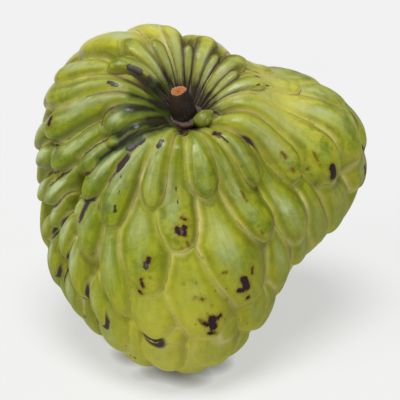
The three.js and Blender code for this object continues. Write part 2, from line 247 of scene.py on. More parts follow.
def body_radius(azimuth, polar):
    """The body's radius without its scales: a smooth curve through the profile, swelled and hollowed."""
    values = np.concatenate([PROFILE[1:2], PROFILE, PROFILE[-2:-1]])
    station = polar / PROFILE_STEP
    i = np.clip(np.floor(station).astype(int), 0, len(PROFILE) - 2)
    t = station - i
    before, start, end, after = values[i], values[i + 1], values[i + 2], values[i + 3]
    square = 2 * before - 5 * start + 4 * end - after
    cube = 3 * (start - end) + after - before
    profile = start + 0.5 * t * (end - before + t * (square + t * cube))
    hollow = STALK_HOLLOW_DEPTH * np.exp(-((polar / STALK_HOLLOW_SPREAD) ** 2))
    return profile + bells(direction(azimuth, polar), SWELLS) - hollow


def body_point(azimuth, polar):
    """A place on the body, before the fruit is leaned over."""
    return direction(azimuth, polar) * body_radius(azimuth, polar)[..., None]


def scale_heights(scales, azimuth, polar):
    """How high scales stand at places, with their share of length, share of width and edge there."""
    tip_azimuth, tip_polar, top_azimuth, top_polar, half_width, bend = np.moveaxis(scales, -1, 0)
    length = tip_polar - top_polar
    up = tip_polar - polar
    share = up / length
    within = np.clip(share, 0, 1)
    along = np.clip(share, -AXIS_PAST_TIP, AXIS_PAST_TOP)
    middle = tip_azimuth + (top_azimuth - tip_azimuth) * along + 4 * bend * within * (1 - within)
    across = ((azimuth - middle + 180) % 360 - 180) * np.sin(np.radians(polar))
    nose = NOSE_LENGTH * half_width
    towards_top = np.clip((up - nose) / (length - nose), 0, None)
    towards_tip = np.clip((nose - up) / nose, 0, None)
    width = half_width * (1 - TOP_NARROWING * np.clip(towards_top, 0, 1) ** NARROWING_POWER)
    outline = (np.abs(across / width) ** NOSE_POINT + towards_tip**NOSE_POINT) ** (1 / NOSE_POINT)
    edge = np.hypot(outline, FALL_PAST_TOP * np.clip(towards_top - 1, 0, None))
    steepness = SIDE_STEEPNESS + NOSE_STEEPNESS * np.clip(towards_tip, 0, 1)
    pad = np.where(edge < 1, 1 - edge**steepness, -steepness * (edge - 1))
    fade = 1 - PAD_FADE + PAD_FADE * np.clip(PAD_FADE_START - share, 0, 1)
    lift = TIP_LIFT * np.minimum(length / FULL_LIFT_LENGTH, 1) * (1 - np.clip(share, -LIFT_PAST_TIP, 1))
    return lift + PAD_HEIGHT * pad * fade, share, across / width, edge


# The mesh is a grid of rings round the stalk's axis, closer together above than on the underside, with
# one vertex at each pole.
STEPS_ROUND = 446
RING_SPACING = [(0.8, 6.4, 8), (7.0, 111.0, 170), (112.4, 178.6, 46)]  # first, last, number
CHUNK = 6000  # vertices worked out at a time

ring_places = np.concatenate([np.linspace(*stretch) for stretch in RING_SPACING])
RINGS = len(ring_places) + 1
ring_polars = np.repeat(ring_places, STEPS_ROUND)
azimuths = np.concatenate([[0], np.tile(360 * np.arange(STEPS_ROUND) / STEPS_ROUND, RINGS - 1), [0]])
polars = np.concatenate([[0], ring_polars, [180]])
VERTICES = len(polars)

# The highest and the second highest scale at each vertex.
top = np.empty(VERTICES, int)
second = np.empty(VERTICES, int)
all_heights = np.empty((VERTICES, len(SCALES)), np.float32)
for start in range(0, VERTICES, CHUNK):
    chunk = slice(start, start + CHUNK)
    heights = scale_heights(SCALES[None], azimuths[chunk, None], polars[chunk, None])[0]
    all_heights[chunk] = heights
    order = np.argpartition(-heights, 1, axis=1)[:, :2]
    pair = np.take_along_axis(heights, order, 1)
    swap = pair[:, 1] > pair[:, 0]
    top[chunk] = np.where(swap, order[:, 1], order[:, 0])
    second[chunk] = np.where(swap, order[:, 0], order[:, 1])

top_height, share, side, edge = scale_heights(SCALES[top], azimuths, polars)
gap = top_height - scale_heights(SCALES[second], azimuths, polars)[0]

SLOPE_STEP = 0.5  # in degrees


def slopes(field):
    """The changes of a field between places a step to either side, round and down."""
    around = field(azimuths + SLOPE_STEP, polars) - field(azimuths - SLOPE_STEP, polars)
    below = np.minimum(polars + SLOPE_STEP, 180)
    above = np.maximum(polars - SLOPE_STEP, 0)
    return around, field(azimuths, below) - field(azimuths, above)


around, down = slopes(body_point)
down /= np.linalg.norm(down, axis=1, keepdims=True)
outward = np.cross(down, around)
outward_length = np.linalg.norm(outward, axis=1, keepdims=True)
here = direction(azimuths, polars)
NO_LENGTH = 1e-9
outward = np.where(outward_length > NO_LENGTH, outward / np.maximum(outward_length, NO_LENGTH), here)

# Two scales are rounded together along their seam. The relief stands on the body and hangs over
# towards the scales' tips, and the fruit is flat where it rests.
meeting = np.clip(1 - gap / SEAM_FILLET, 0, None)
relief = 1 + bells(here, RELIEF_AREAS)
relief *= 1 - np.exp(-((polars / STALK_FADE) ** STALK_FADE_POWER))
relief *= 1 - bells(here, [SPOT_FADE])
height = (top_height + SEAM_FILLET / 4 * meeting**2 - SKIN_SINK) * relief
grown = body_point(azimuths, polars) + outward * height[:, None]
grown += down * (OVERHANG * np.clip(height, 0, None))[:, None]
leaning = Matrix.Rotation(LEAN_FORWARD, 4, "X") @ Matrix.Rotation(LEAN_ASIDE, 4, "Y")
standing = Matrix.Translation(MIDDLE) @ leaning
turned = np.array(standing)
placed = grown @ turned[:3, :3].T + turned[:3, 3]
placed[:, 2] = np.maximum(placed[:, 2], 0)

corner = 1 + np.arange(STEPS_ROUND)
beside = 1 + (np.arange(STEPS_ROUND) + 1) % STEPS_ROUND
faces = [(0, int(a), int(b)) for a, b in zip(corner, beside)]
for ring in range(RINGS - 2):
    a = corner + ring * STEPS_ROUND
    b = beside + ring * STEPS_ROUND
    c = a + STEPS_ROUND
    d = b + STEPS_ROUND
    # Each square is cut along the diagonal that stays on one scale, so that seams run straight.
    falling = (top[a] == top[d]) & (top[c] != top[b])
    rising = (top[c] == top[b]) & (top[a] != top[d])
    falling |= ~rising & (np.abs(height[a] - height[d]) < np.abs(height[c] - height[b]))
    faces += np.where(falling[:, None], np.stack([a, c, d], 1), np.stack([a, c, b], 1)).tolist()
    faces += np.where(falling[:, None], np.stack([a, d, b], 1), np.stack([c, d, b], 1)).tolist()
last = (RINGS - 2) * STEPS_ROUND
faces += [(last + int(a), VERTICES - 1, last + int(b)) for a, b in zip(corner, beside)]


def smooth_piece(name, points, faces):
    """Makes a smooth piece, puts it in the scene, and gives it with its mesh."""
    mesh = bpy.data.meshes.new(name)
    mesh.from_pydata(points.tolist(), [], faces)
    mesh.shade_smooth()
    piece = bpy.data.objects.new(name, mesh)
    bpy.context.collection.objects.link(piece)
    return piece, mesh


fruit, fruit_mesh = smooth_piece("fruit_skin", placed, faces)


def keep(mesh, name, values):
    """Keeps a number or a vector for each vertex, for the material to read."""
    kind = "FLOAT" if values.ndim == 1 else "FLOAT_VECTOR"
    layer = mesh.attributes.new(name, kind, "POINT")
    layer.data.foreach_set("value" if values.ndim == 1 else "vector", values.astype(np.float32).ravel())


# Neighbouring scales get different classes. The material finds the seams between vertices as the
# places where the two highest classes are level, so the seams stay sharp on the mesh.
SEAM_REACH = 1.3 * MM  # scales whose heights differ by less somewhere are neighbours
CLASSES = 6

touching = gap < SEAM_REACH
neighbours = {i: set() for i in range(len(SCALES))}
for a, b in set(zip(top[touching].tolist(), second[touching].tolist())):
    neighbours[a].add(b)
    neighbours[b].add(a)
scale_class = {}
for scale in sorted(neighbours, key=lambda i: -len(neighbours[i])):
    taken = {scale_class.get(other) for other in neighbours[scale]}
    used = [list(scale_class.values()).count(i) for i in range(CLASSES)]
    scale_class[scale] = min(set(range(CLASSES)) - taken, key=lambda i: used[i])
classes = np.array([scale_class[i] for i in range(len(SCALES))])
class_heights = np.stack([all_heights[:, classes == i].max(1) for i in range(CLASSES)], 1)
del all_heights
keep(fruit_mesh, "classes_a", class_heights[:, :3])
keep(fruit_mesh, "classes_b", class_heights[:, 3:])


def seam_gap(azimuth, polar):
    """How far the highest scale of each vertex stands above the second highest, at places near it."""
    highest_there = scale_heights(SCALES[top], azimuth, polar)[0]
    return highest_there - scale_heights(SCALES[second], azimuth, polar)[0]


# How fast that gap opens with the distance from the seam.
SMALLEST_RING_SHARE = 0.02
OPENING_RANGE = (0.12, 3)
SIDE_MOST = 1.5
EDGE_MOST = 1.5

gap_round, gap_down = slopes(seam_gap)
slope_run = 2 * SLOPE_STEP * np.radians(1) * body_radius(azimuths, polars)
ring_share = np.maximum(np.sin(np.radians(polars)), SMALLEST_RING_SHARE)
opening = np.hypot(gap_round / (slope_run * ring_share), gap_down / slope_run)
keep(fruit_mesh, "opening", np.clip(opening, *OPENING_RANGE))

# Where each place lies on its scale, and three chance tones for each scale.
tones = np.random.default_rng(7).random((len(SCALES), 3))
keep(fruit_mesh, "share", share)
keep(fruit_mesh, "side", np.clip(side, -SIDE_MOST, SIDE_MOST))
keep(fruit_mesh, "edge", np.clip(edge, 0, EDGE_MOST))
keep(fruit_mesh, "tones", tones[top])
keep(fruit_mesh, "polar", polars)
keep(fruit_mesh, "place", grown)

# Colour areas: azimuth, polar, amount, spread.
YELLOW_AREAS = [
    (-145, 40, 1.1, 24),  # crest
    (172, 42, 0.9, 20),
    (8, 82, 0.45, 24),  # belly
    (-20, 110, 0.4, 25),
    (70, 80, 0.3, 30),
]
# Paler skin; on the crest and the top of the right lobe it is also painted light from above.
FADED_AND_LIT_AREAS = [
    (112, 37, 1.0, 20),  # top of the right lobe
    (-152, 35, 1.2, 15),  # crest
    (-176, 36, 1.2, 14),
    (160, 36, 0.9, 13),
    (-4, 94, 0.4, 20),  # belly
    (2, 46, 0.3, 17),  # front, below the stalk
]
GREEN_AREAS = [
    (-62, 38, 0.8, 16),  # left of the stalk
    (-30, 35, 0.4, 18),
    (-178, 19, 0.95, 14),  # behind the stalk
    (25, 25, 0.3, 14),
    (-75, 60, 0.35, 20),
]
SCARRED_AREAS = [
    (-78, 66, 1.0, 24),  # left flank
    (-62, 88, 0.8, 20),
    (-60, 30, 0.7, 14),
    (150, 14, 0.5, 12),
]
HOLLOW_AREAS = [  # where painted shade runs out along the valleys between the ribs
    (-62, 23, 1.0, 8),
    (-80, 14, 1.0, 9),
    (-98, 12, 0.6, 7),
    (168, 14, 1.2, 12),
    (135, 12, 1.0, 10),
]
CROWN_HIGHLIGHT_AREAS = [(150, 12, 1.2, 18), (-160, 14, 0.8, 14)]  # ribs whose crowns get a painted highlight


def spots(areas):
    """How strongly some areas show at each vertex, from 0 to 1."""
    return np.clip(bells(here, areas), 0, 1)


keep(fruit_mesh, "areas", np.stack([spots(YELLOW_AREAS), spots(GREEN_AREAS), spots(SCARRED_AREAS)], 1))
keep(fruit_mesh, "hollowed", spots(HOLLOW_AREAS))
keep(fruit_mesh, "faded_and_lit", spots(FADED_AND_LIT_AREAS))
keep(fruit_mesh, "crown_lit", spots(CROWN_HIGHLIGHT_AREAS))

# Marks on the skin, each a stroke: azimuth and polar angle of its two ends, and its half width in
# millimetres. A field holds how far a place lies outside the nearest stroke.
BLACK_MARKS = [
    (23.8, 71.2, 24.4, 74.0, 1.4),
    (20.9, 74.4, 22.8, 74.8, 0.9),
    (24.5, 78.7, 24.5, 78.7, 0.7),
    (29.0, 67.6, 27.8, 70.2, 0.45),
    (9.8, 81.9, 10.2, 84.8, 1.35),
    (11.7, 82.2, 12.8, 81.5, 0.7),
    (6.9, 82.8, 8.0, 83.6, 0.7),
    (8.7, 86.8, 10.6, 87.6, 0.6),
    (-4.0, 48.6, -2.7, 50.6, 0.75),
    (-0.2, 48.1, -0.1, 51.0, 0.75),
    (-2.0, 44.5, 0.3, 45.4, 0.5),
    (-14.7, 61.3, -14.8, 62.4, 0.8),
    (-16.2, 69.3, -16.2, 69.3, 0.65),
    (-15.7, 70.4, -15.1, 71.6, 0.6),
    (-16.6, 74.0, -15.9, 74.2, 0.7),
    (85.2, 59.0, 83.5, 61.2, 1.25),
    (98.3, 74.5, 98.1, 77.0, 0.8),
    (97.5, 78.6, 96.2, 79.8, 0.7),
    (103.5, 73.1, 101.5, 73.4, 0.7),
    (-96.2, 47.0, -94.6, 48.2, 0.9),
    (-2.0, 10.9, 2.4, 11.6, 0.5),
    (35.6, 16.2, 39.3, 17.9, 0.7),
    (6.7, 74.2, 6.7, 74.2, 0.5),
]
BROWN_MARKS = [
    (15.3, 66.3, 16.7, 66.3, 0.45),
    (4.7, 68.3, 4.7, 68.3, 0.5),
    (-0.3, 68.7, -0.3, 68.7, 0.35),
    (3.5, 73.6, 4.5, 73.6, 0.3),
    (10.1, 77.0, 10.1, 77.0, 0.35),
    (16.0, 76.7, 16.0, 76.7, 0.35),
    (37.9, 56.6, 37.8, 57.6, 0.45),
    (1.2, 53.9, 2.0, 55.2, 0.45),
    (-1.4, 56.0, -1.4, 56.0, 0.4),
    (-12.8, 67.8, -12.8, 67.8, 0.35),
    (86.0, 50.6, 83.0, 55.2, 0.4),
    (72.1, 46.0, 71.6, 47.2, 0.6),
    (74.6, 38.6, 74.4, 41.0, 0.6),
    (79.8, 52.7, 79.8, 52.7, 0.5),
    (36.6, 38.5, 37.4, 43.0, 0.4),
    (5.5, 81.5, 7.0, 83.0, 0.6),
    (8.5, 80.0, 9.4, 81.0, 0.4),
]
GREY_MARKS = [
    (-47.0, 26.6, -42.0, 22.8, 1.6),
    (-25.0, 21.8, -24.7, 20.3, 1.0),
    (-15.6, 63.3, -15.3, 64.5, 0.9),
    (-38.7, 46.8, -37.6, 48.8, 0.6),
    (-43.4, 35.0, -39.2, 44.4, 0.28),
    (-6.2, 33.2, -3.9, 41.9, 0.26),
    (-3.3, 49.5, -0.9, 50.2, 1.3),
    (108.2, 22.8, 110.3, 24.7, 0.55),
    (114.7, 28.6, 116.2, 31.4, 0.5),
    (122.1, 26.2, 122.2, 28.1, 0.5),
    (117.6, 52.3, 116.5, 52.8, 0.5),
    (-109.0, 17.8, -110.2, 15.3, 1.2),
    (-113.9, 12.8, -115.2, 11.2, 0.9),
    (-94.2, 22.9, -90.9, 20.8, 0.8),
    (38.4, 17.6, 40.8, 21.5, 0.5),
    (-18.6, 105.8, -16.4, 105.7, 0.6),
]
RUBBED_EDGES = [  # dark rubs along seams, mostly on the left flank
    (-59.9, 46.2, -55.0, 50.3, 0.5),
    (-72.4, 71.4, -73.8, 80.5, 0.4),
    (-50.8, 53.3, -48.5, 62.1, 0.7),
    (-48.5, 62.1, -44.6, 68.6, 0.3),
    (-61.1, 69.5, -60.2, 76.0, 0.5),
    (-60.2, 76.0, -57.2, 80.5, 0.8),
    (-66.5, 81.3, -66.0, 88.7, 0.3),
    (-66.0, 88.7, -62.7, 95.2, 0.6),
    (-48.8, 76.3, -46.2, 82.7, 0.4),
    (-46.2, 82.7, -41.6, 89.5, 0.8),
    (-31.5, 76.9, -28.5, 80.9, 0.6),
    (-49.7, 94.4, -47.9, 98.4, 0.5),
    (-33.7, 89.7, -29.8, 94.0, 0.8),
    (-29.8, 94.0, -23.2, 94.5, 0.3),
    (-39.4, 105.1, -36.8, 109.9, 0.5),
    (-11.8, 90.5, -7.9, 91.0, 0.2),
    (61.6, 44.1, 61.0, 65.3, -0.7),
    (65.3, 18.5, 60.1, 36.1, -0.9),
    (-50.6, 29.1, -41.0, 34.7, 0.4),
    (113.9, 65.6, 104.7, 72.0, 0.4),
]
FOLD_SHADE_STROKES = [  # painted shade in the folds at the left of the stalk
    (-35.0, 10.0, -36.5, 14.9, 0.9),
    (-36.5, 14.9, -46.5, 21.0, 1.0),
    (-46.5, 21.0, -54.5, 27.2, 1.1),
    (-54.5, 27.2, -60.5, 36.5, 0.6),
    (-60.0, 26.0, -50.0, 14.0, 1.4),
    (-54.0, 15.5, -50.0, 9.5, 1.5),
    (-70.5, 20.0, -68.0, 12.0, 1.1),
    (-81.7, 17.0, -82.1, 11.6, 0.6),
    (-82.1, 11.6, -89.2, 7.0, 1.3),
    (-117.0, 10.5, -121.0, 8.0, 1.0),
    (-121.0, 8.0, -114.7, 6.5, 1.2),
]


# The sides that are turned away have scars and freckles of the same kinds.
FAR_AZIMUTHS = (126, 240)
FAR_POLARS = (30, 140)
FAR_KINDS = [  # kind, number, longest in degrees, thinnest and thickest half width
    (BLACK_MARKS, 12, 2.5, 0.5, 1.2),
    (BROWN_MARKS, 26, 0.8, 0.3, 0.5),
    (GREY_MARKS, 7, 1.6, 0.4, 0.9),
]
MARK_DEPTH = 6 * MM  # deeper than this a stroke is on another side of the fruit
NO_MARK = 20.0
NO_RUN = 1e-12

for kind, number, longest, thinnest, thickest in FAR_KINDS:
    for azimuth, polar in zip(grow.uniform(*FAR_AZIMUTHS, number), grow.uniform(*FAR_POLARS, number)):
        end_azimuth, end_polar = (azimuth, polar) + grow.uniform(-longest, longest, 2)
        kind.append((azimuth, polar, end_azimuth, end_polar, grow.uniform(thinnest, thickest)))


def nearest_mark(strokes):
    """How many millimetres each vertex lies outside the nearest of some strokes."""
    nearest = np.full(VERTICES, NO_MARK)
    for azimuth, polar, end_azimuth, end_polar, half_width in strokes:
        ends = body_point(np.array([azimuth, end_azimuth], float), np.array([polar, end_polar], float))
        run = ends[1] - ends[0]
        reach = np.clip((grown - ends[0]) @ run / max(run @ run, NO_RUN), 0, 1)
        away = grown - ends[0] - reach[:, None] * run
        depth = (away * outward).sum(1, keepdims=True)
        off = np.linalg.norm(away - outward * depth, axis=1)
        off = np.hypot(off, np.clip(np.abs(depth[:, 0]) - MARK_DEPTH, 0, None))
        nearest = np.minimum(nearest, off / MM - half_width)
    return nearest


mark_fields = [nearest_mark(kind) for kind in (BLACK_MARKS, BROWN_MARKS, GREY_MARKS)]
keep(fruit_mesh, "marks", np.stack(mark_fields, 1))
keep(fruit_mesh, "folds", nearest_mark(FOLD_SHADE_STROKES))
keep(fruit_mesh, "rubs", nearest_mark(RUBBED_EDGES))


class Shade:
    """A socket of a material's nodes, so that shader maths reads as arithmetic."""

    def __init__(self, tree, socket=None):
        self.tree = tree
        self.socket = socket

    def node(self, kind, settings=None, output=0, **inputs):
        """Adds a node: its type, its settings, then its inputs' values or links, by name or as n0, n1."""
        made = self.tree.nodes.new(kind)
        for name, value in (settings or {}).items():
            setattr(made, name, value)
        for name, value in inputs.items():
            key = int(name[1:]) if name[0] == "n" and name[1:].isdigit() else name.replace("_", " ")
            if isinstance(value, Shade):
                self.tree.links.new(value.socket, made.inputs[key])
            else:
                made.inputs[key].default_value = value
        return Shade(self.tree, made.outputs[output] if made.outputs else None)

    def math(self, operation, *others):
        """Adds a Math node on this number and others."""
        values = {f"n{i}": value for i, value in enumerate((self, *others))}
        return self.node("ShaderNodeMath", {"operation": operation}, **values)

    def __add__(self, other):
        return self.math("ADD", other)

    __radd__ = __add__

    def __mul__(self, other):
        return self.math("MULTIPLY", other)

    __rmul__ = __mul__

    def __sub__(self, other):
        return self.math("SUBTRACT", other)

    def __rsub__(self, other):
        return self.node("ShaderNodeMath", {"operation": "SUBTRACT"}, n0=other, n1=self)

    def __truediv__(self, other):
        return self.math("DIVIDE", other)

    def upto(self, other):
        """The smaller of two numbers."""
        return self.math("MINIMUM", other)

    def atleast(self, other):
        """The larger of two numbers."""
        return self.math("MAXIMUM", other)

    def ramp(self, low, high):
        """0 below low and 1 above high, eased between; low above high turns it round."""
        settings = {"interpolation_type": "SMOOTHSTEP"}
        inputs = {"Value": self, "From_Min": low, "From_Max": high}
        if low > high:
            inputs = {"Value": 0.0 - self, "From_Min": -low, "From_Max": -high}
        return self.node("ShaderNodeMapRange", settings, **inputs)

    def near(self, middle, spread):
        """A bell: 1 at the middle value, falling away over the spread on both sides."""
        return ((self - middle).math("ABSOLUTE") / spread).ramp(1.0, 0.0)

    def attribute(self, name, part=None):
        """A number kept on the mesh, or one of the three of a vector."""
        if part is None:
            return self.node("ShaderNodeAttribute", {"attribute_name": name}, output="Fac")
        return self.node("ShaderNodeSeparateXYZ", output=part, Vector=self.vector(name))

    def vector(self, name):
        """A vector kept on the mesh."""
        return self.node("ShaderNodeAttribute", {"attribute_name": name}, output="Vector")

    def noise(self, place, scale, detail=2.0, roughness=0.5):
        """Cloudy noise from 0 to 1, mostly near 0.5."""
        inputs = {"Scale": scale, "Detail": detail, "Roughness": roughness, "Distortion": 0.0}
        return self.node("ShaderNodeTexNoise", Vector=place, **inputs)

    def plain(self, colour):
        """One even colour, to lay others over."""
        made = self.node("ShaderNodeRGB")
        made.socket.default_value = colour
        return made

    def over(self, colour, amount):
        """This colour with another laid over it by an amount, which is kept from 0 to 1."""
        settings = {"data_type": "RGBA", "clamp_factor": True}
        return self.node("ShaderNodeMix", settings, output=2, Factor=amount, n6=self, n7=colour)


def material(name, slot_colour):
    """A new material with no nodes yet."""
    made = bpy.data.materials.new(name)
    made.use_nodes = True
    made.diffuse_color = slot_colour
    made.node_tree.nodes.clear()
    return made


def finish_surface(made, colour, roughness, bump_height, bump_reach, **others):
    """Joins colour, roughness, bump and other inputs to the surface shader."""
    paint = Shade(made.node_tree)
    normal = paint.node("ShaderNodeBump", Height=bump_height, Strength=1.0, Distance=bump_reach)
    inputs = {"Base_Color": colour, "Roughness": roughness, "Normal": normal, **others}
    shader = paint.node("ShaderNodeBsdfPrincipled", **inputs)
    paint.node("ShaderNodeOutputMaterial", Surface=shader)


# Skin colours, as linear red, green and blue.
GREEN = (0.30, 0.33, 0.010, 1)
DEEP_GREEN = (0.17, 0.225, 0.002, 1)
DARK_GREEN = (0.05, 0.09, 0.004, 1)
YELLOW = (0.50, 0.43, 0.009, 1)
PALE = (0.41, 0.40, 0.05, 1)
BLOOM_AND_SHEEN = (0.43, 0.50, 0.22, 1)
CREAM = (0.52, 0.47, 0.11, 1)
SEAM_TAN = (0.52, 0.46, 0.17, 1)
SEAM_LINE_AND_SHADOW = (0.21, 0.14, 0.07, 1)
SEAM_DARK = (0.045, 0.03, 0.026, 1)
BLACK = (0.022, 0.010, 0.013, 1)
BROWN = (0.13, 0.065, 0.008, 1)
SEAM_PALE = (0.66, 0.61, 0.27, 1)
FADED_AND_LIT = (0.69, 0.64, 0.095, 1)
SEAM_SHADE_GREEN = (0.085, 0.105, 0.004, 1)
SHADE_OLIVE = (0.13, 0.15, 0.006, 1)
OCHRE = (0.24, 0.19, 0.008, 1)
GREY = (0.10, 0.088, 0.115, 1)
GREY_RIM = (0.026, 0.014, 0.022, 1)
HOLLOW_BROWN_AND_SHADE = (0.031, 0.020, 0.014, 1)
HOLLOW_FIBRE = (0.15, 0.125, 0.11, 1)
CROWN_HIGHLIGHT = (0.36, 0.37, 0.15, 1)
FOLD_SHADE = (0.020, 0.014, 0.009, 1)

skin = material("custard_apple_skin", GREEN)
paint = Shade(skin.node_tree)
place = paint.vector("place")

# The distance from the seam in millimetres, from the two highest of the classes.
highest = paint.attribute("classes_a", "X")
lower = -1.0 + 0.0 * highest
for name, part in (("a", "Y"), ("a", "Z"), ("b", "X"), ("b", "Y"), ("b", "Z")):
    other = paint.attribute("classes_" + name, part)
    lower = lower.atleast(highest.upto(other))
    highest = highest.atleast(other)
wander = paint.noise(place, 260.0) - 0.5
from_seam = ((highest - lower) / paint.attribute("opening")) * 1000.0

along = paint.attribute("share")
across = paint.attribute("side")
rim = paint.attribute("edge")
tone = paint.attribute("tones", "X")
tone_two = paint.attribute("tones", "Y")
tone_three = paint.attribute("tones", "Z")
polar = paint.attribute("polar")
yellowed = paint.attribute("areas", "X")
greened = paint.attribute("areas", "Y")
scarred = paint.attribute("areas", "Z")
hollowed = paint.attribute("hollowed")
faded_and_lit = paint.attribute("faded_and_lit")
crown_lit = paint.attribute("crown_lit")
rubbed = paint.attribute("rubs")

clouds = paint.noise(place, 90.0, detail=3.0)
mottle = paint.noise(place, 420.0, detail=3.0, roughness=0.6)

# Grain runs along each scale, so it is drawn in the scale's own share of width and length.
grain_across = across * 2.2 + tone * 40.0
grain_place = paint.node("ShaderNodeCombineXYZ", X=grain_across, Y=along * 1.1, Z=tone_two * 30.0)
grain = paint.noise(grain_place, 3.0, detail=3.0)

# The body of each scale is deeper green in its middle and streaked along its length, and no two
# scales have quite the same green.
colour = paint.plain(GREEN)
heart = rim.ramp(0.95, 0.35)
upper = polar.ramp(82.0, 50.0)
blotches = paint.noise(place, 170.0, detail=4.0, roughness=0.65)
colour = colour.over(YELLOW, tone_two.ramp(0.55, 1.0) * 0.3 + clouds.ramp(0.5, 0.7) * 0.3)
deepened = heart * (tone * 0.45 + 0.5 * clouds) + grain.ramp(0.5, 0.32) * 0.35
colour = colour.over(DEEP_GREEN, deepened)
colour = colour.over(DARK_GREEN, greened * (0.3 + tone * 0.4) * rim.ramp(1.0, 0.5))
colour = colour.over(YELLOW, yellowed * (0.45 + 0.7 * clouds) * (1.0 - 0.3 * heart))
seams_show = 0.3 + 0.7 * paint.noise(place, 42.0).ramp(0.38, 0.58)
colour = colour.over(PALE, rim.ramp(0.72, 1.0) * 0.3 * seams_show + grain.ramp(0.52, 0.68) * 0.3)
# Paler skin, partly painted light from above on the crest and the right lobe's top.
colour = colour.over(FADED_AND_LIT, faded_and_lit * (0.55 + 0.75 * clouds))

# All over, the skin is finely flecked with yellow and with a deeper green.
flecks = paint.noise(place, 330.0, detail=4.0, roughness=0.7)
flecks_show = 1.0 - 0.65 * faded_and_lit
colour = colour.over(YELLOW, flecks.ramp(0.5, 0.7) * 0.4 * flecks_show)
colour = colour.over(DEEP_GREEN, flecks.ramp(0.5, 0.32) * (0.25 + 0.35 * upper) * flecks_show)

# On the upper side the scales have dark blotches, mostly towards the free tip, and the hidden ends
# where they crowd together are cream. A whitish sheen lies in patches on the crowns, left of their
# middles: partly a thin waxy coat, partly a painted reflection of the lights.
blotched = upper * rim.ramp(1.0, 0.55) * (0.25 + 0.75 * along.ramp(0.75, 0.2))
blotched *= 1.0 - 0.8 * yellowed.atleast(faded_and_lit)
colour = colour.over(DEEP_GREEN, blotched * (0.25 + blotches.ramp(0.4, 0.6) * 0.7))
colour = colour.over(DARK_GREEN, blotched * blotches.ramp(0.47, 0.66) * 0.7)
crowded = rim.ramp(0.72, 1.0) * along.ramp(0.4, 0.8) * upper * (0.4 + 0.8 * clouds)
colour = colour.over(CREAM, crowded * 0.8 * seams_show)
patch_across = across * 1.1 + tone_two * 50.0
patch_place = paint.node("ShaderNodeCombineXYZ", X=patch_across, Y=along * 1.5, Z=tone * 20.0)
patches = paint.noise(patch_place, 1.5, detail=4.0, roughness=0.65).ramp(0.35, 0.68)
# Painted sheen, partly wax: lighter patches on the left half of each crown.
bloom_and_sheen = (across + 0.2 * scarred).near(-0.15, 0.65) * along.near(0.55, 0.5)
bloom_and_sheen *= 0.15 + 0.4 * scarred + patches
bloom_and_sheen *= 0.5 + mottle
bloom_and_sheen *= 0.35 + 0.9 * upper.atleast(scarred) + 0.4 * scarred
colour = colour.over(BLOOM_AND_SHEEN, bloom_and_sheen * (0.35 + 0.55 * tone_three))

# The side of a scale that turns down at the right, away from the left light, is painted a darker olive
# shade.
painted_side_shade = across.ramp(0.2, 0.8) * rim.ramp(0.45, 0.8) * (0.35 + 0.6 * clouds) * (0.7 + 0.5 * upper)
painted_side_shade *= 1.0 - 0.7 * faded_and_lit
colour = colour.over(SHADE_OLIVE, painted_side_shade)

# Next to a seam the skin is painted a darker green on both sides, a painted shade where the scales dip
# into the groove, less so on the belly.
beside = (from_seam + wander * 0.8).near(1.9, 1.6) * (0.3 + 0.9 * clouds)
beside *= 0.25 + 0.75 * upper.atleast(scarred * 0.8)
colour = colour.over(SEAM_SHADE_GREEN, beside * (0.55 - 0.45 * faded_and_lit))

# Seams: a soft pale band with a brighter ridge, now and then with a thin pinkish-brown line in it that is
# partly a painted contact shadow, and dark purple-brown lines where scales were rubbed.
band = (from_seam + wander * 1.6).ramp(1.5, 0.1)
colour = colour.over(SEAM_TAN, band * (clouds - 0.12) * seams_show)
ridge = (from_seam + wander * 0.9).ramp(0.5, 0.1) * paint.noise(place, 95.0).ramp(0.47, 0.66)
colour = colour.over(SEAM_PALE, ridge * 0.5 * seams_show)
line = (from_seam + wander * 0.3).ramp(0.32, 0.05)
broken = paint.noise(place, 130.0).ramp(0.43, 0.58)
colour = colour.over(SEAM_LINE_AND_SHADOW, line * broken * (0.3 + 0.45 * upper))
dark_line = (from_seam + wander * 0.8).ramp(1.15, 0.4) * rubbed.ramp(2.9, 1.1)
left_edges = paint.noise(place, 75.0).ramp(0.42, 0.54) * across.ramp(0.0, -0.4)
dark_line += (from_seam + wander * 0.9).ramp(1.1, 0.4) * scarred * left_edges
dark_line += (from_seam + wander * 0.4).ramp(0.4, 0.1) * scarred.ramp(0.15, 0.6) * broken * 0.5
colour = colour.over(SEAM_DARK, dark_line * 1.1)

# Marks: black scars in an ochre halo, small brown freckles, and grey waxy rubs with dark rims.
torn = 1.5 * (paint.noise(place, 480.0, detail=4.0, roughness=0.7) - 0.5)
torn += 0.7 * (paint.noise(place, 1500.0) - 0.5)
black = paint.attribute("marks", "X") + torn + 0.3
brown = paint.attribute("marks", "Y") + torn * 0.9 + 0.15
grey = paint.attribute("marks", "Z") + torn * 0.8 + (grain - 0.5) * 1.3 + 0.25
colour = colour.over(OCHRE, (black + torn * 0.8).ramp(1.5, 0.2) * 0.75)
colour = colour.over(OCHRE, brown.ramp(0.9, 0.0) * 0.6)
colour = colour.over(GREY_RIM, grey.ramp(0.22, -0.05) * 0.93)
colour = colour.over(GREY, grey.ramp(-0.15, -0.7) * mottle.ramp(0.3, 0.6))
colour = colour.over(BROWN, brown.ramp(0.3, -0.15) * 0.8)
colour = colour.over(BROWN, black.ramp(0.55, 0.15) * 0.8)
colour = colour.over(BLACK, black.ramp(0.22, -0.02))
cells = paint.node("ShaderNodeTexVoronoi", output="Distance", Vector=place, Scale=330.0)
speck_field = paint.noise(place, 60.0).ramp(0.56, 0.7)
specks = cells.ramp(0.16, 0.07) * speck_field
colour = colour.over(BROWN, specks * 0.6)

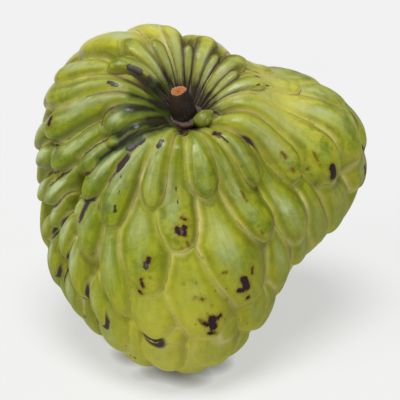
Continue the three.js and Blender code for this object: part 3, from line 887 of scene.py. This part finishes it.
# The hollow round the stalk is dark brown. The folds beside it are painted shade, and between the
# ribs further out painted shade runs along the valleys, where the ribs' crowns get a painted highlight.
ray_across = across * 2.0 + tone * 60.0
ray_place = paint.node("ShaderNodeCombineXYZ", X=ray_across, Y=polar * 0.12, Z=tone_two * 9.0)
fibres = paint.noise(ray_place, 2.4, detail=3.0).ramp(0.5, 0.66)
from_stalk = polar + wander * 4.0 + (fibres - 0.5) * 2.0
# Painted highlight on the crowns of the ribs near the stalk.
crowns = rim.ramp(0.55, 0.15) * crown_lit * from_stalk.ramp(27.0, 13.0)
colour = colour.over(CROWN_HIGHLIGHT, crowns * 0.3)
# Painted shade in the valleys between the ribs; next to the stalk the hollow's own dark brown.
valleys = rim.ramp(0.2, 0.7) * hollowed * from_stalk.ramp(31.0, 15.0)
colour = colour.over(HOLLOW_BROWN_AND_SHADE, valleys * 0.9 + from_stalk.ramp(12.5, 7.0) * 0.95)
# Painted shade: dark green round the folds and near black in them.
folds = paint.attribute("folds") + wander * 1.6 - rim.ramp(0.4, 1.0) * 0.8
colour = colour.over(DARK_GREEN, folds.ramp(2.2, 0.2) * 0.75)
colour = colour.over(FOLD_SHADE, folds.ramp(0.5, -0.8) * 0.92)
colour = colour.over(HOLLOW_FIBRE, (polar + wander * 3.0).ramp(10.5, 7.0) * fibres * 0.7)

# The skin is glossiest above. Scars are dull, and the surface has fine pores and low waves.
roughness = 0.23 + 0.10 * mottle + 0.33 * polar.ramp(50.0, 85.0)
roughness += 0.15 * black.ramp(0.3, 0.0)
roughness += 0.15 * band
pores = paint.noise(place, 1500.0, detail=2.0)
waves = paint.noise(place, 240.0, detail=2.0)
surface = pores * 0.035 + waves * 0.28 - black.ramp(0.3, 0.0) * 0.1 - line * 0.05
finish_surface(skin, colour, roughness, surface, 1.0 * MM, Specular_IOR_Level=0.20)
fruit_mesh.materials.append(skin)
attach(fruit, "root")
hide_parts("fruit")

# Stalk. A short woody peg that the fruit hung by, cut with shears: dark brown dry bark, slightly
# angular, thick at the foot, with an orange-brown cut face. It has grown out of the fruit's hollow.

STALK_SUNK = 2.2 * MM
STALK_LEAN = math.radians(-10)
STALK_OUTLINE = [  # height over the foot and radius, in millimetres
    (0.0, 4.4),
    (2.2, 4.45),
    (3.2, 4.3),
    (5.5, 4.0),
    (9.0, 3.5),
    (12.0, 3.0),
    (14.2, 2.6),
    (14.9, 2.35),
]
BARK_FLATS = [(3, 0.6, 0.045), (5, -1.1, 0.03)]  # number, start, share of the radius
BARK_RIDGES = [(17, 900, 0.012), (29, -500, 0.010)]  # number, twist per metre, share
BARK_RING_TURN = 2600  # per metre
BARK_RING_SHARE = 0.014
BARK_RING_FADE = 6 * MM
CUT_SLOPE_ASIDE = 0.08
CUT_SLOPE_FRONT = -0.15
CUT_HOLLOW = 0.35 * MM
CUT_WAVES = 0.12 * MM
CUT_MIDDLE_SUNK = 0.4 * MM
STALK_RINGS = 60
STALK_SIDES = 72
CUT_RINGS = 10

pole_radius = float(body_radius(np.array(0.0), np.array(0.0)))
stalk_place = (
    standing
    @ Matrix.Translation((0, 0, pole_radius - STALK_SUNK))
    @ Matrix.Rotation(STALK_LEAN, 4, "Y")
)
outline_heights, outline_radii = (np.array(column) * MM for column in zip(*STALK_OUTLINE))
stalk_length = outline_heights[-1]
turns = np.linspace(0, 2 * math.pi, STALK_SIDES, endpoint=False)


def bark_relief(turn, height):
    """The bark's flats, ridges and rings near the foot, as a share of the radius."""
    flats = sum(share * np.cos(times * turn + begin) for times, begin, share in BARK_FLATS)
    ridges = sum(share * np.cos(times * turn + twist * height) for times, twist, share in BARK_RIDGES)
    ringing = np.cos(BARK_RING_TURN * height + 1.5 * np.cos(turn)) * np.exp(-height / BARK_RING_FADE)
    return 1 + flats + ridges + BARK_RING_SHARE * ringing


# Rings up the bark, whose slant grows to the cut's, and rings inwards over the cut. The height kept for
# the material runs from 0 at the foot to 1 at the cut's rim and 2 in its middle.
stalk_rings = []
ring_heights = []
for climb in np.linspace(0, 1, STALK_RINGS):
    height = climb * stalk_length
    radius = np.interp(height, outline_heights, outline_radii) * bark_relief(turns, height)
    x = radius * np.sin(turns)
    y = -radius * np.cos(turns)
    slant = (CUT_SLOPE_ASIDE * x + CUT_SLOPE_FRONT * y) * climb**3
    stalk_rings.append(np.stack([x, y, height + slant], 1))
    ring_heights.append(np.full(STALK_SIDES, climb))
cut_rim = stalk_rings[-1]
for step in range(1, CUT_RINGS):
    inward = 1 - step / CUT_RINGS
    sunk = CUT_HOLLOW * (1 - inward**4) + CUT_WAVES * np.cos(7 * turns + step)
    cut_ring = cut_rim * [inward, inward, 1]
    cut_ring[:, 2] = stalk_length + (cut_rim[:, 2] - stalk_length) * inward - sunk
    stalk_rings.append(cut_ring)
    ring_heights.append(np.full(STALK_SIDES, 1 + step / CUT_RINGS))
stalk_rings.append(np.array([[0, 0, 0], [0, 0, stalk_length - CUT_MIDDLE_SUNK]]))
ring_heights.append(np.array([0.0, 2.0]))
stalk_points = np.concatenate(stalk_rings)


def ring_faces(points, steps, climbing=False):
    """Faces over rings of points, outwards or climbing, that are followed by the two poles."""
    pole = len(points) - 2
    closed = []
    for i in range(steps):
        j = (i + 1) % steps
        closed.append((pole, i, j))
        for a in range(0, pole - steps, steps):
            b = a + steps
            closed.append((a + i, b + i, b + j, a + j))
        closed.append((b + i, pole + 1, b + j))
    return [(face[0], *face[:0:-1]) for face in closed] if climbing else closed


stalk_faces = ring_faces(stalk_points, STALK_SIDES, climbing=True)
stalk, stalk_mesh = smooth_piece("stalk_wood", stalk_points, stalk_faces)
keep(stalk_mesh, "height", np.concatenate(ring_heights))
keep(stalk_mesh, "place", stalk_points)
keep(stalk_mesh, "facing_left", -stalk_points[:, 0] / outline_radii[0])
stalk_mesh.transform(stalk_place)

BARK = (0.018, 0.009, 0.006, 1)
BARK_LIGHT = (0.085, 0.06, 0.05, 1)
BARK_SHEEN = (0.055, 0.028, 0.012, 1)
CUT_ORANGE = (0.42, 0.14, 0.035, 1)
CUT_DARK = (0.16, 0.05, 0.02, 1)
CUT_PALE = (0.50, 0.36, 0.26, 1)

bark = material("stalk_bark", BARK)
paint = Shade(bark.node_tree)
place = paint.vector("place")
level = paint.attribute("height")
stretched = paint.node("ShaderNodeVectorMath", {"operation": "MULTIPLY"}, n0=place, n1=(1, 1, 0.18))
fibre = paint.noise(stretched, 1500.0, detail=4.0, roughness=0.65)
patches = paint.noise(place, 300.0, detail=3.0)
colour = paint.plain(BARK)
# Painted sheen: the bark is a lighter brown up towards the cut and on its left-facing side.
painted_bark_sheen = level.ramp(0.25, 0.95) * paint.attribute("facing_left").ramp(-0.6, 0.5)
colour = colour.over(BARK_SHEEN, painted_bark_sheen)
colour = colour.over(BARK_LIGHT, fibre.ramp(0.5, 0.75) * 0.5 + patches.ramp(0.5, 0.75) * 0.4)

# The cut face is darker in its middle and paler in a ring under the bark.
cut = level.ramp(0.985, 1.02)
wood = paint.noise(place, 1300.0, detail=4.0, roughness=0.6)
cut_colour = paint.plain(CUT_ORANGE)
darkened = wood.ramp(0.52, 0.7) * 0.8 + level.ramp(1.75, 1.95) * 0.6
cut_colour = cut_colour.over(CUT_DARK, darkened)
cut_colour = cut_colour.over(CUT_PALE, level.near(1.1, 0.16) * wood.ramp(0.4, 0.55) * 0.5)
colour = colour.over(cut_colour, cut)
roughness = 0.62 + 0.2 * fibre
surface = fibre * 0.5 + patches * 0.4 + cut * wood * 0.5
finish_surface(bark, colour, roughness, surface, 0.6 * MM, Specular_IOR_Level=0.4)
stalk_mesh.materials.append(bark)
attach(stalk, "root")
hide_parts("stalk")

# Collar. Where the stalk meets the fruit a thin plate of dry tissue has cracked round its foot. It is
# grey-brown and fibrous, torn at the rim, with an orange-brown edge, and has grown onto both.

COLLAR_RADIUS = 5.2 * MM
COLLAR_RISE = 4.0 * MM
COLLAR_DOME = 0.9 * MM
COLLAR_RIM = 0.45 * MM  # the outermost ring lies lower by this
COLLAR_CRACKLE = 0.05 * MM
COLLAR_UNDER_SHARE = 0.9
COLLAR_UNDER_DEPTH = 2 * MM
COLLAR_DEPTH = 3 * MM
COLLAR_LOBES = [(3, 1.0, 0.05), (5, 0.3, 0.03), (11, 2.0, 0.015)]  # number, start, share
WING_AZIMUTH = -75  # where the plate is widest
WING_SHARE = 0.55
WING_SPREAD = 24
COLLAR_RINGS = 24
COLLAR_STEPS = 120

collar_turns = np.linspace(0, 2 * math.pi, COLLAR_STEPS, endpoint=False)
ragged = 1 + sum(share * np.cos(times * collar_turns + begin) for times, begin, share in COLLAR_LOBES)
off_wing = (np.degrees(collar_turns) - WING_AZIMUTH + 180) % 360 - 180
ragged += WING_SHARE * np.exp(-((off_wing / WING_SPREAD) ** 2))
plate_top = pole_radius + COLLAR_RISE
collar_rings = []
rings_outwards = []
for ring in range(1, COLLAR_RINGS + 1):
    out = ring / COLLAR_RINGS
    reach = COLLAR_RADIUS * ragged * out
    level = plate_top - COLLAR_DOME * out**2 + COLLAR_CRACKLE * np.cos(19 * collar_turns + 9 * out)
    level -= COLLAR_RIM * (ring == COLLAR_RINGS)
    collar_rings.append(np.stack([reach * np.sin(collar_turns), -reach * np.cos(collar_turns), level], 1))
    rings_outwards.append(np.full(COLLAR_STEPS, out))
under = collar_rings[-1] * [COLLAR_UNDER_SHARE, COLLAR_UNDER_SHARE, 1] - [0, 0, COLLAR_UNDER_DEPTH]
collar_rings += [under, np.array([[0, 0, plate_top], [0, 0, plate_top - COLLAR_DEPTH]])]
rings_outwards += [np.ones(COLLAR_STEPS), np.array([0.0, 1.0])]
collar_points = np.concatenate(collar_rings)
collar_faces = ring_faces(collar_points, COLLAR_STEPS)
collar, collar_mesh = smooth_piece("stalk_collar", collar_points, collar_faces)
keep(collar_mesh, "outwards", np.concatenate(rings_outwards))
keep(collar_mesh, "place", collar_points)
collar_mesh.transform(standing)

COLLAR_GREY = (0.11, 0.085, 0.075, 1)
COLLAR_BROWN = (0.03, 0.017, 0.012, 1)
COLLAR_ORANGE = (0.13, 0.042, 0.018, 1)

tissue = material("collar_tissue", COLLAR_GREY)
paint = Shade(tissue.node_tree)
place = paint.vector("place")
outwards = paint.attribute("outwards")
threads = paint.noise(place, 1400.0, detail=4.0, roughness=0.65)
colour = paint.plain(COLLAR_GREY)
colour = colour.over(COLLAR_BROWN, threads.ramp(0.45, 0.65))
colour = colour.over(COLLAR_ORANGE, outwards.ramp(0.88, 0.96) * threads.ramp(0.7, 0.4))
finish_surface(tissue, colour, 0.6 + 0.2 * threads, threads * 1.0, 0.5 * MM, Specular_IOR_Level=0.4)
collar_mesh.materials.append(tissue)
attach(collar, "root")

# Knob. A stunted scale that has grown as a small round knob against the stalk's foot. It is a fresher,
# glossier green than the skin, of the same flesh, and has grown onto the fruit.

KNOB_PLACE = (64, 7.7)
KNOB_RISE = 0.9 * MM
KNOB_HALF_SIZES = Vector((3.7, 2.9, 2.7)) * MM  # round the stalk, down, outwards
KNOB_TURN = math.radians(18)
KNOB_LOBES = [(3, 0.5, 0.05), (5, 0.0, 0.03)]  # number, start, share
KNOB_CREASE = 0.9  # the turn at which a crease runs over it, in radians
KNOB_CREASE_DEPTH = 0.10
KNOB_CREASE_WIDTH = 0.16
KNOB_RINGS = 32
KNOB_STEPS = 64

knob_outward = Vector(direction(*KNOB_PLACE))
knob_round = Vector((0, 0, 1)).cross(knob_outward).normalized()
knob_down = knob_outward.cross(knob_round) * -1
knob_axes = Matrix((knob_round, knob_down, knob_outward)).transposed()
knob_axes = knob_axes @ Matrix.Rotation(KNOB_TURN, 3, "Z")
knob_middle = knob_outward * (float(body_radius(*np.array(KNOB_PLACE, float))) + KNOB_RISE)
knob_points = []
knob_level = []
for ring in range(1, KNOB_RINGS):
    tilt = math.pi * ring / KNOB_RINGS
    for step in range(KNOB_STEPS):
        turn = 2 * math.pi * step / KNOB_STEPS
        lobes = sum(share * math.cos(times * turn + begin) for times, begin, share in KNOB_LOBES)
        crease = KNOB_CREASE_DEPTH * math.exp(-(((turn - KNOB_CREASE) / KNOB_CREASE_WIDTH) ** 2))
        swell = 1 + math.sin(tilt) * lobes - crease * math.sin(tilt) ** 2
        unit = Vector((math.sin(tilt) * math.cos(turn), math.sin(tilt) * math.sin(turn), math.cos(tilt)))
        local = Vector(a * b for a, b in zip(unit, KNOB_HALF_SIZES)) * swell
        knob_points.append(knob_middle + knob_axes @ local)
        knob_level.append(unit.z)
for end in (1, -1):
    knob_points.append(knob_middle + knob_axes @ Vector((0, 0, end * KNOB_HALF_SIZES.z)))
    knob_level.append(end)
knob_points = np.array(knob_points)
knob, knob_mesh = smooth_piece("stalk_knob", knob_points, ring_faces(knob_points, KNOB_STEPS))
keep(knob_mesh, "rise", np.array(knob_level))
keep(knob_mesh, "place", knob_points)
knob_mesh.transform(standing)

KNOB_GREEN = (0.155, 0.185, 0.014, 1)
KNOB_BLOOM_AND_SHEEN = (0.32, 0.35, 0.11, 1)

knob_skin = material("knob_skin", KNOB_GREEN)
paint = Shade(knob_skin.node_tree)
place = paint.vector("place")
rise = paint.attribute("rise")
patches = paint.noise(place, 420.0, detail=3.0)
colour = paint.plain(KNOB_GREEN)
# Pale bloom on the knob's crown, partly a painted sheen.
colour = colour.over(KNOB_BLOOM_AND_SHEEN, patches.ramp(0.45, 0.62) * rise.ramp(0.0, 0.9) * 0.8)
# Painted shade: darker green low on the knob, where it meets the fruit.
colour = colour.over(DARK_GREEN, rise.ramp(0.35, -0.2) * 0.8)
finish_surface(knob_skin, colour, 0.3 + 0.2 * patches, patches, 0.3 * MM, Specular_IOR_Level=0.25)
knob_mesh.materials.append(knob_skin)
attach(knob, "root")

# Floor. A plain pale sheet that glows evenly, a painted light that keeps it pale and its shadows weak.

FLOOR_HALF = 2.0
FLOOR_GREY = 0.272
PAINTED_FLOOR_GLOW = 0.54
PAINTED_SHADOW_REACH = 5 * MM  # painted contact shadow: the floor's light is dimmed this close to the fruit

floor_corners = np.array([(-1, -1, 0), (1, -1, 0), (1, 1, 0), (-1, 1, 0)]) * FLOOR_HALF
floor, floor_mesh = smooth_piece("floor", floor_corners, [(0, 1, 2, 3)])
sheet = material("milky_plastic", (0.85, 0.85, 0.85, 1))
paint = Shade(sheet.node_tree)
fleck = paint.noise(paint.node("ShaderNodeTexCoord", output="Object"), 30.0)
pale = FLOOR_GREY + fleck * 0.01
grey = paint.node("ShaderNodeCombineColor", Red=pale, Green=pale, Blue=pale)
# Painted contact shadow: the emission is darker where the fruit stands close over the floor.
painted_contact_shadow = paint.node("ShaderNodeAmbientOcclusion", {"samples": 8}, output="AO", Distance=PAINTED_SHADOW_REACH)
painted_glow = paint.node("ShaderNodeCombineColor", Red=painted_contact_shadow, Green=painted_contact_shadow, Blue=painted_contact_shadow)
lit = {"Emission_Color": painted_glow, "Emission_Strength": PAINTED_FLOOR_GLOW}
finish_surface(sheet, grey, 0.9 + 0.05 * fleck, fleck, 0.01 * MM, **lit)
floor_mesh.materials.append(sheet)

# Light and camera. A pale room gives weak even light. One softbox overhead and a weaker one at the
# left light the fruit. The sheen on the scales is partly their reflection and partly painted on the skin.

ROOM_BRIGHTNESS = 0.235
SOFTBOXES = [  # name, turn from the front, rise over the floor, spread, brightness
    ("high_softbox", -8, 75, 28, 2.75),
    ("left_softbox", -55, 32, 28, 0.7),
]

world = bpy.data.worlds.new("studio")
world.use_nodes = True
room = world.node_tree.nodes["Background"].inputs
room["Color"].default_value = (1, 1, 1, 1)
room["Strength"].default_value = ROOM_BRIGHTNESS
scene = bpy.context.scene
scene.world = world
scene.view_settings.view_transform = "Standard"

for name, turn, rise, spread, brightness in SOFTBOXES:
    lamp = bpy.data.objects.new(name, bpy.data.lights.new(name, "SUN"))
    lamp.data.energy = brightness
    lamp.data.angle = math.radians(spread)
    towards_lamp = Vector(direction(turn, 90 - rise))
    lamp.rotation_euler = towards_lamp.to_track_quat("Z", "Y").to_euler()
    bpy.context.collection.objects.link(lamp)

VIEW_ELEVATION = math.radians(24)
VIEW_DISTANCE = 650 * MM
VIEW_TARGET = MIDDLE + Vector((5.22, 2.14, 4.81)) * MM
VIEW_WIDTH = 125.76 * MM

camera = bpy.data.objects.new("camera", bpy.data.cameras.new("camera"))
towards_camera = Vector((0, -math.cos(VIEW_ELEVATION), math.sin(VIEW_ELEVATION)))
camera.location = VIEW_TARGET + towards_camera * VIEW_DISTANCE
camera.rotation_euler = towards_camera.to_track_quat("Z", "Y").to_euler()
camera.data.lens = camera.data.sensor_width * VIEW_DISTANCE / VIEW_WIDTH
bpy.context.collection.objects.link(camera)
scene.camera = camera
